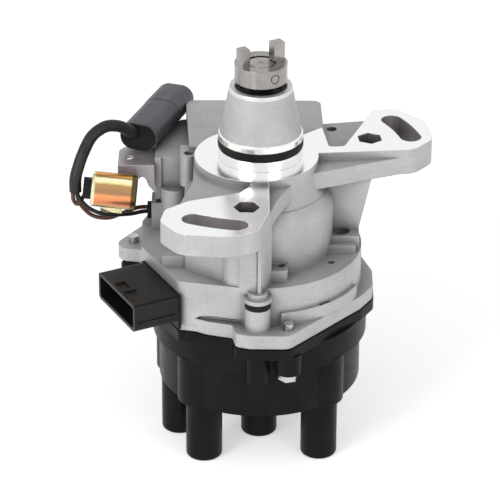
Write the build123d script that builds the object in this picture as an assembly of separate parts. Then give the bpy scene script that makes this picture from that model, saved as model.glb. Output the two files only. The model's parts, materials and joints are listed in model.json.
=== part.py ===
from build123d import *
import math
import os

# Ignition distributor with an optical pickup, a built-in igniter and a four-way cap
# Origin on the shaft axis at the machined flange face, +Z up the shaft to the drive coupling
# All sizes in millimetres, angles in degrees about +Z from +X

# Clearances
running_gap = 0.06
seat_gap = 0.03
brush_gap = 0.1
rotor_gap = 0.8
contact_gap = 0.3
joint_gap = 0.4

# Shaft line
shaft_radius = 6.0
shaft_top = 47.2
shaft_bottom = -86.0
coupling_radius = 12.4
coupling_top = 47.5
coupling_height = 8.7
coupling_recess_radius = 7.2
coupling_recess_depth = 3.0
tang_height = 9.0
tang_width = 5.0
tang_offset = -0.9
tang_spans = ((-12.4, -7.8), (5.1, 10.8))
tang_angle = 30.0
cross_pin_angle = -57.5
cross_pin_radius = 1.75
cross_pin_recess_radius = 2.35
cross_pin_recess_depth = 0.7

# Nose, spigot and oil seal
nose_top = 35.7
nose_top_radius = 14.7
nose_root_radius = 19.3
nose_mouth_radius = 12.4
seal_radius = 12.0
seal_height = 5.0
seal_depth = 0.6
spigot_radius = 20.0
spigot_height = 12.4
oring_low = 4.9
oring_high = 9.15
oring_proud = 0.2
oring_groove_depth = 2.6
bush_radius = 9.0
bush_length = 20.0
bush_top = 27.0

# Mounting flange
annulus_radius = 29.3
annulus_centre = (-1.9, -0.5)
flange_thickness = 12.7
front_arm_thickness = 10.5
slot_circle_radius = 74.3
slot_half_width = 5.15
slot_span = 16.0
front_slot_angle = -106.2
right_slot_angle = 23.4
hex_across_flats = 10.8
front_hex_centre = (-6.3, -55.7)
front_hex_turn = 0.0
right_hex_centre = (52.1, 18.0)
right_hex_turn = 37.0
web_level = -4.0
web_thickness = 8.0
gusset_front = 0.8
gusset_thickness = 4.5

# Column, deck and bowl
column_radius = 34.7
column_top_radius = 28.0
column_neck_depth = 8.0
column_flare_depth = 25.0
column_core_outer = 31.0
column_core_inner = 23.0
column_core_top = -16.0
hub_radius = 20.0
deck_level = -46.0
deck_thickness = 4.0
bowl_radius = 48.5
bowl_wall = 3.6
rim_top = -65.0
rim_thickness = 7.0
roof_level = -2.0
roof_thickness = 4.0
left_roof_level = -10.0
right_plate_level = -8.0
right_plate_thickness = 6.0
step_level = -58.6
boss_lip_top = -48.6
groove_ring_top = -50.6
groove_ring_bottom = -54.0
groove_ring_core = 4.6
side_block_level = -39.5
side_step_level = -42.3

# Ball bearing, 12 mm bore
bearing_top = -41.0
bearing_width = 10.0
bearing_outer_radius = 16.0
race_wall_share = 0.32
ball_radius_share = 0.29
ball_count = 7
ball_gap = 0.15
cage_gap = 0.12
circlip_thickness = 1.2
circlip_depth = 0.8

# Slit disc and optical pickup
disc_level = -59.0
disc_radius = 34.0
disc_thickness = 0.8
disc_slit_count = 24
disc_slit_length = 5.0
disc_slit_width = 1.6
disc_window_count = 4
disc_hub_radius = 8.8
disc_hub_length = 11.0
pickup_inner = 22.5
pickup_outer = 42.0
pickup_width = 24.0
pickup_slot = 2.6
pickup_floor = 3.6

# Dust cover, rotor and cap contacts
cover_level = -66.5
cover_thickness = 1.5
cover_gap = 1.9
post_inset = 3.0
cover_hole_radius = 13.0
post_radius = 3.4
post_angles = (20.0, 160.0, 270.0)
rotor_top = -70.5
rotor_hub_radius = 9.5
rotor_arm_top = -79.0
rotor_face = -88.0
rotor_arm_radius = 27.5
rotor_arm_width = 14.0
rotor_angle = -35.6
blade_radius = 30.5
blade_width = 8.0
blade_thickness = 1.2
brush_radius = 3.0
brush_length = 12.5
brush_travel = 2.0
spring_length = 12.0
spring_radius = 2.4
spring_wire_radius = 0.35
spring_turns = 6

# Cap
cap_flange_thickness = 5.4
cap_skirt_radius = 51.6
cap_skirt_bottom = -90.3
cap_wall_radius = 48.7
cap_bottom = -114.7
cap_wall = 3.6
cap_floor = 4.7
cap_ear_limit = -67.0
tower_radius = 8.8
tower_bottom = -150.5
socket_radius = 5.2
socket_depth = 18.5
terminal_radius = 2.0
terminal_post_radius = 4.4
tower_centres = {
    "front_left": (-26.6, -23.1),
    "front_right": (29.0, -20.8),
    "rear_left": (-39.0, 2.7),
    "rear_right": (29.0, 25.0),
}
buttress_radius = 11.5
buttress_centres = ((-27.6, -29.6), (28.8, -28.4), (-38.6, 2.7), (30.6, 26.4))
locator_centre = (-1.0, -51.0)
locator_radius = 5.7
locator_bottom = -93.5

# Fasteners
cap_screw_centres = ((13.4, -52.6), (-61.9, 35.8), (42.6, 50.0))
cap_screw_radius = 2.4
cap_screw_tip = 3.2
cap_screw_boss_radius = 6.4
cap_screw_boss_bottom = -87.4
screw_head_radius = 4.2
screw_head_height = 3.0
washer_radius = 5.2
washer_thickness = 0.9
small_screw_radius = 1.5
small_head_radius = 2.8
small_head_height = 1.8

# Igniter connector on the left front wall
socket_angle = 27.5
socket_mouth = (-67.25, -38.1, -59.0)
socket_width = 39.6
socket_height = 14.0
socket_wall = 1.7
socket_cavity_depth = 14.5
socket_reach = 22.6
socket_tail = 7.0
socket_tail_margin = 3.0
socket_seal_thickness = 1.4
pin_count = 6
pin_thickness = 1.0
pin_length = 16.0

# Igniter in the rear chamber
chamber_back = 61.5
igniter_size = (44.0, 9.0, 30.0)
igniter_centre_x = -3.5
igniter_centre_z = -34.0

# Bracket, condenser and lead connector on the left
side_wall = -50.5
bracket_level = -12.0
sheet_thickness = 1.5
bracket_left = -68.0
bracket_front = 12.0
bracket_back = 33.0
bracket_drop = 16.0
bracket_hole_centre = (-62.9, 20.7)
bracket_hole_radius = 2.0
condenser_centre = (-69.5, 3.0, -21.0)
condenser_tilt = 6.0
condenser_length = 20.6
condenser_radius = 7.5
clamp_thickness = 0.9
plug_radius = 5.2
plug_length = 3.8
lead_front = (-58.6, 26.2, -3.7)
lead_rear = (-41.0, 76.1, -4.5)
lead_width = 18.6
lead_height = 13.7
lead_corner = 6.4
lead_wall = 1.6
lead_mouth_depth = 9.0
lead_split = 0.58
lead_step = 0.2
lead_gap = 0.4
lead_boot_cover = 1.2
grommet_centre = (-52.4, 18.0, -38.6)
grommet_radius = 4.2
grommet_length = 4.0
sheath_radius = 2.9
sheath_pocket_radius = 2.5
sheath_pocket_depth = 3.0
wire_radius = 1.0

# Values worked out from the sizes above
race_wall = race_wall_share * (bearing_outer_radius - shaft_radius)
ball_radius = ball_radius_share * (bearing_outer_radius - shaft_radius)
cover_radius = bowl_radius - bowl_wall - cover_gap
post_circle_radius = cover_radius - post_inset
coupling_bottom = coupling_top - coupling_height
rim_bottom = rim_top - rim_thickness
deck_under = deck_level - deck_thickness
bearing_bottom = bearing_top - bearing_width
hub_bottom = bearing_bottom - circlip_thickness - 2.0
cap_top = rim_bottom - joint_gap
cap_flange_low = cap_top - cap_flange_thickness
cap_inner_floor = cap_bottom + cap_floor
cap_inner_radius = cap_wall_radius - cap_wall
blade_face = rotor_face - blade_thickness
brush_top = blade_face - contact_gap
brush_bottom = brush_top - brush_length
spring_bottom = brush_bottom - spring_length
contact_radius = blade_radius + rotor_gap
socket_top = tower_bottom + socket_depth


def cylinder(radius, low, high, centre=(0.0, 0.0)):
    """Upright round solid between two heights."""
    return Pos(centre[0], centre[1], low) * extrude(Circle(radius), high - low)


def tube(outer, inner, low, high, centre=(0.0, 0.0)):
    """Upright ring between two heights."""
    ring = Circle(outer) - Circle(inner)
    return Pos(centre[0], centre[1], low) * extrude(ring, high - low)


def outline(points, radii=0.0):
    """Closed flat outline with rounded corners."""
    return make_face(FilletPolyline(*points, radius=radii, close=True))


def inset_points(points, distance):
    """Corners of an anticlockwise outline moved inwards by a distance."""
    moved = []
    count = len(points)
    for index, here in enumerate(points):
        before = Vector(*points[index - 1])
        after = Vector(*points[(index + 1) % count])
        run_in = (Vector(*here) - before).normalized()
        run_out = (after - Vector(*here)).normalized()
        normal = Vector(-run_in.Y - run_out.Y, run_in.X + run_out.X).normalized()
        reach = distance / (run_in.X * normal.Y - run_in.Y * normal.X)
        place = Vector(*here) + normal * reach
        moved.append((place.X, place.Y))
    return moved


def prism(face, low, high):
    """Upright solid of a flat outline between two heights."""
    return Pos(0, 0, low) * extrude(face, high - low)


def block(x_low, x_high, y_low, y_high, z_low, z_high):
    """Box between two corners."""
    centre = Pos((x_low + x_high) / 2, (y_low + y_high) / 2, (z_low + z_high) / 2)
    return centre * Box(x_high - x_low, y_high - y_low, z_high - z_low)


def side_slab(points, y_low, y_high):
    """Solid of an outline in X and Z, thick along Y."""
    face = Plane.XZ * make_face(Polyline(*points, close=True))
    return Pos(0, y_high, 0) * extrude(face, y_high - y_low)


def turned(profile):
    """Solid of revolution from radius and height pairs."""
    face = Plane.XZ * make_face(Polyline(*profile, close=True))
    return revolve(face, Axis.Z)


def polar(radius, angle):
    """Point at a radius and an angle."""
    return (radius * math.cos(math.radians(angle)), radius * math.sin(math.radians(angle)))


def arc_slot(angle, low, high):
    """Slot along the slot circle, round at both ends."""
    half = slot_span / 2
    start = polar(slot_circle_radius, angle - half)
    middle = polar(slot_circle_radius, angle)
    end = polar(slot_circle_radius, angle + half)
    centre_line = ThreePointArc(start, middle, end)
    return prism(SlotArc(centre_line, 2 * slot_half_width), low, high)


def hexagon(centre, across_flats, turn, low, high):
    """Upright hexagonal prism."""
    shape = Rot(0, 0, turn) * RegularPolygon(across_flats / 2, 6, major_radius=False)
    return Pos(centre[0], centre[1], low) * extrude(shape, high - low)


def rod(start, end, radius):
    """Straight round bar between two points."""
    along = Vector(*end) - Vector(*start)
    return extrude(Plane(origin=start, z_dir=along) * Circle(radius), along.length)


def route_radii(points):
    """Largest even bend radius at each inner point of a route."""
    radii = []
    for before, here, after in zip(points, points[1:], points[2:]):
        run_in = Vector(*here) - Vector(*before)
        run_out = Vector(*after) - Vector(*here)
        half_turn = math.radians(run_in.get_angle(run_out)) / 2
        radii.append(0.45 * min(run_in.length, run_out.length) / math.tan(half_turn))
    return radii


def round_cable(points, radius):
    """Round cable along straight runs joined by tangent arcs."""
    radii = route_radii(points)
    path = FilletPolyline(*points, radius=radii)
    start = Plane(origin=path @ 0, z_dir=path % 0)
    cable = sweep(start * Circle(radius), path)
    ideal = math.pi * radius ** 2 * path.length
    print("bend radii", [round(r, 1) for r in radii], "length", round(path.length, 1),
          "volume ratio", round(cable.volume / ideal, 4))
    return cable


# Housing casting

front_arm_points = (
    (4.0, -30.0), (4.1, -59.5), (-1.2, -80.6), (-14.0, -85.9), (-36.6, -83.4),
    (-45.6, -70.5), (-43.6, -58.6), (-33.0, -49.6), (-9.6, -41.0), (-4.4, -33.5), (-5.0, -26.0), (0.0, -20.0),
)
front_arm_radii = (0.0, 12.0, 8.0, 18.0, 10.0, 6.5, 4.5, 6.0, 6.0, 4.0, 0.0, 0.0)
right_arm_points = (
    (24.0, 1.2), (73.0, 5.6), (82.3, 17.5), (80.0, 36.0), (66.0, 51.5), (54.6, 49.5),
    (39.8, 9.2), (32.4, 8.6), (29.7, 30.2), (20.6, 21.8), (14.0, 10.0),
)
right_arm_radii = (0.0, 9.5, 8.0, 14.0, 6.5, 4.0, 2.0, 2.0, 0.8, 0.0, 0.0)
front_plate_points = (
    (0.0, -20.0), (15.5, -20.0), (13.8, -26.0), (10.5, -33.6), (7.2, -42.8), (3.9, -55.0),
    (0.0, -56.0),
)
right_plate_points = (
    (20.0, 12.0), (20.0, -16.0), (25.5, -12.1), (37.5, -7.2), (47.0, -2.8), (66.2, 5.0),
    (75.0, 9.0), (70.0, 14.0),
)
web_points = (
    (-31.5, 13.0), (-31.5, -22.0), (-36.0, -40.5), (-39.0, -54.0), (-20.0, -56.0), (0.0, -46.0),
    (0.0, 13.0),
)
bowl_points = (
    (44.0, 16.0), (33.0, 51.0), (29.5, 65.0), (-36.5, 65.0), (-39.3, 56.0), (-51.0, 38.0),
    (-57.0, 20.0), (-56.5, -6.4), (-38.2, -41.6), (-9.0, -47.8), (10.0, -47.4),
)
bowl_radii = (0.0, 4.0, 4.0, 4.0, 3.0, 6.0, 8.0, 2.5, 3.0, 6.0, 3.0)
rim_points = (
    (-37.8, -41.2), (-30.6, -42.7), (-24.4, -46.0), (-12.8, -49.4), (-11.2, -57.4), (-5.0, -59.6),
    (13.6, -59.8), (48.0, -20.0), (54.2, -9.0), (54.2, 6.0), (48.2, 25.0), (47.0, 32.0),
    (46.9, 54.6),     (40.0, 58.5), (29.8, 66.2), (-36.8, 66.2), (-43.0, 57.0), (-57.5, 54.0), (-70.4, 33.8),
    (-66.5, 28.0), (-57.4, 26.5), (-56.0, -6.1),
)
rim_radii = (
    2.0, 5.0, 6.0, 1.5, 3.0, 5.0,
    6.0, 8.0, 8.0, 8.0, 3.0, 8.0, 4.0,
    3.0, 4.0, 4.0, 3.0, 4.0, 5.0,
    4.0, 3.0, 2.0,
)


cap_ear_points = ((36.0, 30.0), (50.4, 36.0), (49.0, 60.5), (36.0, 60.5))


def bowl_face(inset=0.0):
    """Plan of the bowl with its connector wall and rear chamber."""
    radii = [max(radius - inset, 0.6) for radius in bowl_radii]
    return outline(inset_points(bowl_points, inset), radii) + Circle(bowl_radius - inset)


def rim_face(outset=0.0):
    """Plan of the rim flange."""
    return outline(inset_points(rim_points, -outset), rim_radii)


def flange():
    """Machined flange pads on a lower plate with two slotted arms and the web."""
    low = -flange_thickness
    front_arm = prism(outline(front_arm_points, front_arm_radii), -front_arm_thickness, 0)
    right_arm = prism(outline(right_arm_points, right_arm_radii), low, 0)
    pad = cylinder(annulus_radius, low, 0, annulus_centre)
    web = prism(outline(web_points), web_level - web_thickness, web_level)
    front_plate = prism(outline(front_plate_points), low, web_level)
    right_plate = prism(outline(right_plate_points), low, web_level)
    return front_arm + right_arm + pad + web + front_plate + right_plate


def nose():
    """Tapered nose, spigot and O-ring groove, without the bore."""
    groove_radius = spigot_radius - oring_groove_depth
    return turned((
        (0, -1.0), (spigot_radius, -1.0), (spigot_radius, oring_low),
        (groove_radius, oring_low), (groove_radius, oring_high), (spigot_radius, oring_high),
        (spigot_radius, spigot_height - 0.4), (spigot_radius - 0.4, spigot_height),
        (nose_root_radius, spigot_height + 0.1),
        (nose_top_radius, nose_top), (0, nose_top),
    ))


def column():
    """Bell-shaped column between the flange and the deck."""
    neck = (column_top_radius, -column_neck_depth)
    foot = (column_radius, -column_flare_depth)
    shoulder = Spline(neck, foot, tangents=((0, -1), (0, -1)))
    rest = Polyline(foot, (column_radius, deck_level), (column_radius + 2.0, deck_level - 1.0),
                    (column_radius + 2.0, deck_under), (0, deck_under), (0, web_level),
                    (column_top_radius, web_level), neck)
    return revolve(Plane.XZ * make_face(shoulder + rest), Axis.Z)


def bowl():
    """Bowl below the deck, rim flange, step beside the wall and the locating boss."""
    body = prism(bowl_face(), rim_bottom + 3.5, deck_level)
    body += prism(rim_face(), rim_bottom, rim_top)
    step = prism(Circle(bowl_radius + 1.8), rim_top, step_level)
    body += step & block(10.0, 46.0, -52.0, -20.0, rim_top, step_level)
    body += cylinder(locator_radius + 0.9, groove_ring_top, boss_lip_top, locator_centre)
    body += cylinder(groove_ring_core, rim_top, deck_level, locator_centre)
    body += cylinder(locator_radius + 0.4, rim_top, groove_ring_bottom, locator_centre)
    groove = side_slab(((-31.0, rim_top), (-8.2, rim_top), (-8.2, rim_top + 2.0),
                        (-24.0, rim_top + 2.3), (-29.0, rim_top + 1.6)), -6.0, 2.0)
    return body - Pos(0, -49.7, 0) * Rot(0, 0, -12.0) * groove


def bowl_space():
    """Space inside the bowl, round behind the front wall."""
    corner = outline(((-44.0, -37.0), (-44.0, -56.0), (14.0, -56.0), (14.0, -37.0)))
    corner -= Circle(bowl_radius - bowl_wall)
    return prism(bowl_face(bowl_wall) - corner, rim_bottom - 1.0, deck_under)


def boss_ring():
    """Rubber band in the groove round the front of the locating boss."""
    band = tube(locator_radius + 0.35, groove_ring_core + seat_gap,
                groove_ring_bottom + seat_gap, groove_ring_top - seat_gap, locator_centre)
    return band - cylinder(bowl_radius + seat_gap, groove_ring_bottom - 1.0, groove_ring_top + 1.0)


def upper_blocks():
    """Chambers, ribs and bosses that stand on the deck."""
    roof = outline(((-33.8, 12.0), (-36.6, 65.0), (29.5, 65.0), (31.0, 12.0)), (0.0, 5.0, 4.0, 0.0))
    body = prism(roof, rim_top, roof_level)
    left = outline(((side_wall, 17.0), (side_wall, 39.5), (-43.0, 58.5), (-30.0, 61.0), (-30.0, 17.0)),
                   (1.5, 3.0, 2.0, 0.0, 0.0))
    body += prism(left, deck_level, left_roof_level)
    body += cylinder(3.9, -20.0, web_level, (-34.3, 8.6))
    body += block(-38.2, -30.4, 8.6, 18.0, -20.0, web_level)
    body += cylinder(7.0, deck_level, -25.0, (-41.0, 17.0))
    body += block(side_wall, -47.2, 15.8, 18.0, -33.0, left_roof_level)
    body += block(-52.2, -46.6, 13.6, 26.0, deck_level, -33.0)
    plate = outline(((26.0, 10.0), (30.0, 50.8), (50.5, 54.5), (56.0, 47.0), (41.0, 9.0)))
    body += prism(plate, right_plate_level - right_plate_thickness, right_plate_level)
    sector = Circle(bowl_radius) & outline(((30.0, -7.5), (47.2, -7.5), (47.2, 40.0), (26.0, 40.0)))
    body += prism(sector, deck_level, side_block_level)
    body -= cylinder(4.2, side_block_level - 3.0, side_block_level + 1.0, (38.6, -1.6))
    body += block(32.0, 45.4, -12.0, -6.5, deck_level, side_step_level)
    gusset = ((30.0, -12.0), (53.0, -12.0), (47.0, side_block_level), (30.0, side_block_level))
    return body + side_slab(gusset, gusset_front, gusset_front + gusset_thickness)


def front_supports():
    """Pillar, wall and small blocks that carry the front arm on the deck."""
    low = deck_level
    high = -front_arm_thickness + 1.0
    body = block(-1.2, 0.6, -53.9, -49.0, boss_lip_top, high)
    rib = ((-9.6, -47.6), (-4.2, -50.9), (-1.6, -51.9), (1.6, -49.5), (5.3, -42.0), (5.3, -30.0),
           (-14.0, -28.0))
    body += prism(outline(rib), boss_lip_top, high)
    wall = ((-35.4, -28.0), (-9.6, -47.4), (-4.0, -44.0), (-8.0, -18.0), (-30.0, -6.0), (-35.4, -14.0))
    body += prism(outline(wall, (2.0, 0.0, 0.0, 0.0, 0.0, 2.0)), low, high)
    body += cylinder(7.7, low, high, (-10.5, -38.6))
    body += block(-46.0, -35.2, -26.2, -20.0, low, low + 5.0)
    small = ((1.9, -41.4), (13.0, -41.4), (13.0, -30.0), (1.9, -30.0))
    return body + prism(outline(small, (0.0, 2.0, 0.0, 0.0)), low, low + 5.6)


def housing():
    """One-piece aluminium casting."""
    body = flange() + nose() + column() + bowl() + upper_blocks() + front_supports()

    # Bores along the shaft line
    body -= cylinder(bush_radius, bush_top - bush_length, bush_top)
    body -= cylinder(shaft_radius + 2.0, bearing_bottom - 10.0, nose_top)
    body -= cylinder(seal_radius, nose_top - seal_depth - seal_height, nose_top)
    mouth = ((0, nose_top - seal_depth), (seal_radius, nose_top - seal_depth),
             (nose_mouth_radius, nose_top + 0.01), (0, nose_top + 0.01))
    body -= turned(mouth)

    # Hollow column round the bearing hub, bowl and rear chamber
    body -= tube(column_core_outer, column_core_inner, deck_under - 1.0, column_core_top)
    body -= bowl_space()
    chamber = outline(((-33.0, 38.5), (-33.0, chamber_back), (26.0, chamber_back), (26.0, 38.5)), 2.0)
    body -= prism(chamber, rim_bottom - 1.0, roof_level - roof_thickness)
    side_chamber = outline(((-47.0, 22.0), (-47.0, 32.0), (-36.0, 50.0), (-32.0, 50.0), (-34.5, 22.0)))
    body -= prism(side_chamber, rim_bottom - 1.0, left_roof_level - roof_thickness)

    # Bearing hub with its circlip groove and the posts for the dust cover
    hub = cylinder(hub_radius, hub_bottom, deck_under + 0.5)
    for angle in post_angles:
        hub += cylinder(post_radius, cover_level, deck_under + 0.5, polar(post_circle_radius, angle))
    body += hub
    body -= cylinder(bearing_outer_radius, bearing_bottom - circlip_thickness - 3.0, bearing_top)
    body -= tube(bearing_outer_radius + circlip_depth, bearing_outer_radius - 1.0,
                 bearing_bottom - circlip_thickness, bearing_bottom)

    # Slots, hexagons and drilled holes
    for angle in (front_slot_angle, right_slot_angle):
        body -= arc_slot(angle, -2 * flange_thickness, 1.0)
    body -= hexagon(front_hex_centre, hex_across_flats, front_hex_turn, -9.0, 1.0)
    body -= hexagon(right_hex_centre, hex_across_flats, right_hex_turn, -9.0, 1.0)
    drilled = (
        ((-33.9, 9.2), 2.3, web_level), ((-48.8, 16.0), 1.0, -33.0),
        ((34.6, 45.1), 2.5, right_plate_level), ((9.8, -35.6), 1.9, deck_level + 5.6),
        ((33.5, -21.5), 1.7, deck_level), ((-7.4, -32.8), 2.0, web_level),
    )
    for centre, radius, level in drilled:
        body -= cylinder(radius, level - 5.0, level + 1.0, centre)
    body -= Rot(0, 0, -51.8) * block(48.45, 49.9, -3.3, 3.3, step_level - 2.6, step_level + 1.0)
    for centre in cap_screw_centres:
        body -= cylinder(cap_screw_radius + seat_gap, rim_bottom - 1.0, rim_top + 0.5, centre)
    for angle in post_angles:
        body -= cylinder(small_screw_radius + seat_gap, cover_level - 1.0, cover_level + 7.0,
                         polar(post_circle_radius, angle))

    # Hole for the connector's tail, hole for the wire grommet and room for the lead connector
    margin = socket_height / 2 - socket_tail_margin / 2 + seat_gap
    body -= socket_box(socket_width - 2 * socket_tail_margin + 2 * seat_gap, socket_mouth[2] + margin,
                       socket_mouth[2] - margin, socket_reach, socket_reach + 10.0)
    hole = Rot(0, 90, 0) * Cylinder(grommet_radius - 1.0, 12.0)
    body -= Pos(grommet_centre[0] + 4.0, grommet_centre[1], grommet_centre[2]) * hole
    return body - lead_room()


# Connector in the left front wall

def socket_plane():
    """Frame at the connector's mouth, Z inwards along its axis and Y up."""
    inward = polar(1.0, socket_angle)
    return Plane(origin=socket_mouth, x_dir=(-inward[1], inward[0], 0), z_dir=(*inward, 0))


def socket_box(width, z_high, z_low, start, end):
    """Box square to the connector's axis between two world heights."""
    middle = (z_high + z_low) / 2 - socket_mouth[2]
    shape = Pos(0, middle, (start + end) / 2) * Box(width, z_high - z_low, end - start)
    return socket_plane().location * shape


def connector_shell():
    """Open rectangular shroud with its latch ramp and the block that passes into the bowl."""
    length = socket_reach + socket_seal_thickness + socket_tail
    outer = extrude(RectangleRounded(socket_width, socket_height, 2.2), socket_reach)
    tail_width = socket_width - 2 * socket_tail_margin
    tail = extrude(Rectangle(tail_width, socket_height - socket_tail_margin), length)
    mouth = RectangleRounded(socket_width - 2 * socket_wall, socket_height - 2 * socket_wall, 1.2)
    body = outer + tail - extrude(mouth, socket_cavity_depth)
    top = socket_height / 2
    for side in (-1, 1):
        body += Pos(side * 4.6, top, 5.0) * Box(1.6, 1.6, 6.0)
    body += Pos(0, top, 7.0) * Box(8.0, 1.6, 2.0)
    body += Pos(-socket_width / 2, -2.6, socket_reach / 2) * Box(1.2, 1.2, socket_reach - 4.0)
    body = socket_plane().location * body
    return body - pin_solids(seat_gap)


def pin_solids(gap=0.0):
    """Flat pins in a row across the connector."""
    pitch = (socket_width - 2 * socket_wall) / pin_count
    size = pin_thickness + 2 * gap
    pins = Part()
    for index in range(pin_count):
        across = (index - (pin_count - 1) / 2) * pitch
        pin = Box(size, size + 1.0, pin_length + 2 * gap)
        pins += Pos(across, 0, socket_cavity_depth + 11.0 - pin_length / 2) * pin
    return socket_plane().location * pins


def connector_seal():
    """Flat seal between the connector and the wall, round its tail."""
    start = socket_reach + seat_gap
    high = socket_mouth[2] + socket_height / 2
    inner = (socket_height - socket_tail_margin) / 2 + seat_gap
    frame = socket_box(socket_width, high, rim_bottom + 2.4, start, start + socket_seal_thickness)
    return frame - socket_box(socket_width - 2 * socket_tail_margin + 2 * seat_gap,
                              socket_mouth[2] + inner, socket_mouth[2] - inner, start - 1.0,
                              start + socket_seal_thickness + 1.0)


# Shaft line

def drive_coupling():
    """Coupling sleeve with two tangs offset to one side."""
    body = tube(coupling_radius, shaft_radius + seat_gap, coupling_bottom, coupling_top)
    body -= cylinder(coupling_recess_radius, coupling_top - coupling_recess_depth, coupling_top + 1)
    low = tang_offset - tang_width / 2
    for near, far in tang_spans:
        tang = block(near, far, low, low + tang_width, coupling_top, coupling_top + tang_height)
        body += Rot(0, 0, tang_angle) * tang & cylinder(coupling_radius, coupling_top,
                                                        coupling_top + tang_height)
    body -= across_coupling(cross_pin_radius + seat_gap, coupling_radius + 1.0)
    recess = across_coupling(cross_pin_recess_radius, coupling_radius + 1.0)
    return body - (recess - cylinder(coupling_radius - cross_pin_recess_depth, coupling_bottom - 1.0,
                                     coupling_top + 1.0))


def across_coupling(radius, half_length):
    """Round bar through the middle of the coupling along the cross pin."""
    bar = Rot(0, 90, 0) * Cylinder(radius, 2 * half_length)
    return Pos(0, 0, (coupling_bottom + coupling_top) / 2) * Rot(0, 0, cross_pin_angle) * bar


def cross_pin():
    """Pin through the coupling and the shaft."""
    return across_coupling(cross_pin_radius, coupling_radius - 0.3)


def shaft():
    """Stepped steel shaft."""
    collar_top = bearing_top + 4.0
    body = cylinder(shaft_radius, shaft_bottom, shaft_top)
    body += cylinder(shaft_radius + 1.4, bearing_top + 0.1, collar_top)
    body -= turned(((0, shaft_top - 1.6), (1.4, shaft_top + 0.01), (0, shaft_top + 0.01)))
    return body - across_coupling(cross_pin_radius + seat_gap, shaft_radius + 1.0)


def bearing_race(inner):
    """One grooved bearing race."""
    middle = bearing_top - bearing_width / 2
    pitch_radius = (bearing_outer_radius + shaft_radius) / 2
    groove = Pos(0, 0, middle) * Torus(pitch_radius, ball_radius + ball_gap)
    if inner:
        ring = tube(shaft_radius + race_wall, shaft_radius + seat_gap, bearing_bottom, bearing_top)
    else:
        ring = tube(bearing_outer_radius - seat_gap, bearing_outer_radius - race_wall,
                    bearing_bottom, bearing_top)
    return ring - groove


def bearing_balls():
    """Ring of balls at the pitch circle."""
    middle = bearing_top - bearing_width / 2
    pitch_radius = (bearing_outer_radius + shaft_radius) / 2
    balls = []
    for index in range(ball_count):
        x, y = polar(pitch_radius, index * 360 / ball_count)
        balls.append(Pos(x, y, middle) * Sphere(ball_radius))
    return balls


def bearing_cage():
    """Cage ring with a pocket for each ball."""
    middle = bearing_top - bearing_width / 2
    half = bearing_width / 2 - 1.2
    inner = shaft_radius + race_wall + 0.4
    outer = bearing_outer_radius - race_wall - 0.4
    cage = tube(outer, inner, middle - half, middle + half)
    pitch_radius = (bearing_outer_radius + shaft_radius) / 2
    pocket = Rot(0, 90, 0) * Cylinder(ball_radius + cage_gap, bearing_outer_radius)
    for index in range(ball_count):
        cage -= Rot(0, 0, index * 360 / ball_count) * Pos(pitch_radius, 0, middle) * pocket
    return cage


def bearing_circlip():
    """Open ring that holds the bearing in its hub."""
    low = bearing_bottom - circlip_thickness + seat_gap
    high = bearing_bottom - seat_gap
    ring = tube(bearing_outer_radius + circlip_depth - 0.1, bearing_outer_radius - 2.4, low, high)
    return ring - block(5.0, 30.0, -2.5, 2.5, low - 1.0, high + 1.0)


def oil_seal():
    """Lip seal in the nose."""
    low = nose_top - seal_depth - seal_height
    high = nose_top - seal_depth
    lip = shaft_radius + running_gap
    return turned((
        (lip, low), (seal_radius - seat_gap, low), (seal_radius - seat_gap, high),
        (seal_radius - 2.0, high), (seal_radius - 2.6, high - 1.6), (lip + 1.4, high - 1.6),
        (lip, high - 0.6),
    ))


def spigot_o_ring():
    """O-ring squeezed in the spigot's groove."""
    inner = spigot_radius - oring_groove_depth + seat_gap
    outer = spigot_radius + oring_proud
    corner = 0.9
    return turned((
        (inner, oring_low + seat_gap), (outer - corner, oring_low + seat_gap),
        (outer, oring_low + corner), (outer, oring_high - corner),
        (outer - corner, oring_high - seat_gap), (inner, oring_high - seat_gap),
    ))


def slit_disc():
    """Thin disc with an outer row of slits and four windows."""
    low = disc_level - disc_thickness / 2
    disc = tube(disc_radius, disc_hub_radius - 1.8, low, low + disc_thickness)
    slit_middle = disc_radius - 1.2 - disc_slit_length / 2
    cutter = Pos(slit_middle, 0, disc_level) * Box(disc_slit_length, disc_slit_width, 4.0)
    for index in range(disc_slit_count):
        disc -= Rot(0, 0, index * 360 / disc_slit_count) * cutter
    window = Pos(disc_radius - 11.0, 0, disc_level) * Box(4.0, 7.0, 4.0)
    for index in range(disc_window_count):
        disc -= Rot(0, 0, 7.5 + index * 360 / disc_window_count) * window
    return disc


def disc_hub():
    """Collar that clamps the slit disc under the bearing."""
    top = bearing_bottom - 0.1
    low = top - disc_hub_length
    body = tube(disc_hub_radius, shaft_radius + seat_gap, low, top)
    half = disc_thickness / 2 + seat_gap
    return body - tube(disc_hub_radius + 1.0, disc_hub_radius - 1.8 - seat_gap,
                       disc_level - half, disc_level + half)


# Pieces inside the bowl and the rear chamber

def pickup_holes():
    """Places of the two screws that hold the pickup."""
    return ((-8.0, pickup_outer - 3.5), (8.0, pickup_outer - 3.5))


def optical_pickup():
    """Forked light gate that straddles the slit disc."""
    half = pickup_width / 2
    low = disc_level - pickup_slot / 2 - pickup_floor
    body = block(-half, half, pickup_inner, pickup_outer, low, deck_under - seat_gap)
    slot = disc_level - pickup_slot / 2
    body -= block(-half - 1, half + 1, pickup_inner - 1, disc_radius + 1.0, slot, slot + pickup_slot)
    for centre in pickup_holes():
        body -= cylinder(small_screw_radius + seat_gap, low - 1, deck_under + 1, centre)
    return body


def pickup_screws():
    """Two screws from below into the deck."""
    low = disc_level - pickup_slot / 2 - pickup_floor
    screws = []
    for centre in pickup_holes():
        screw = cylinder(small_screw_radius, low - 0.5, deck_under - 0.2, centre)
        screw += cylinder(small_head_radius, low - seat_gap - small_head_height, low - seat_gap, centre)
        screws.append(screw)
    return screws


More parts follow.
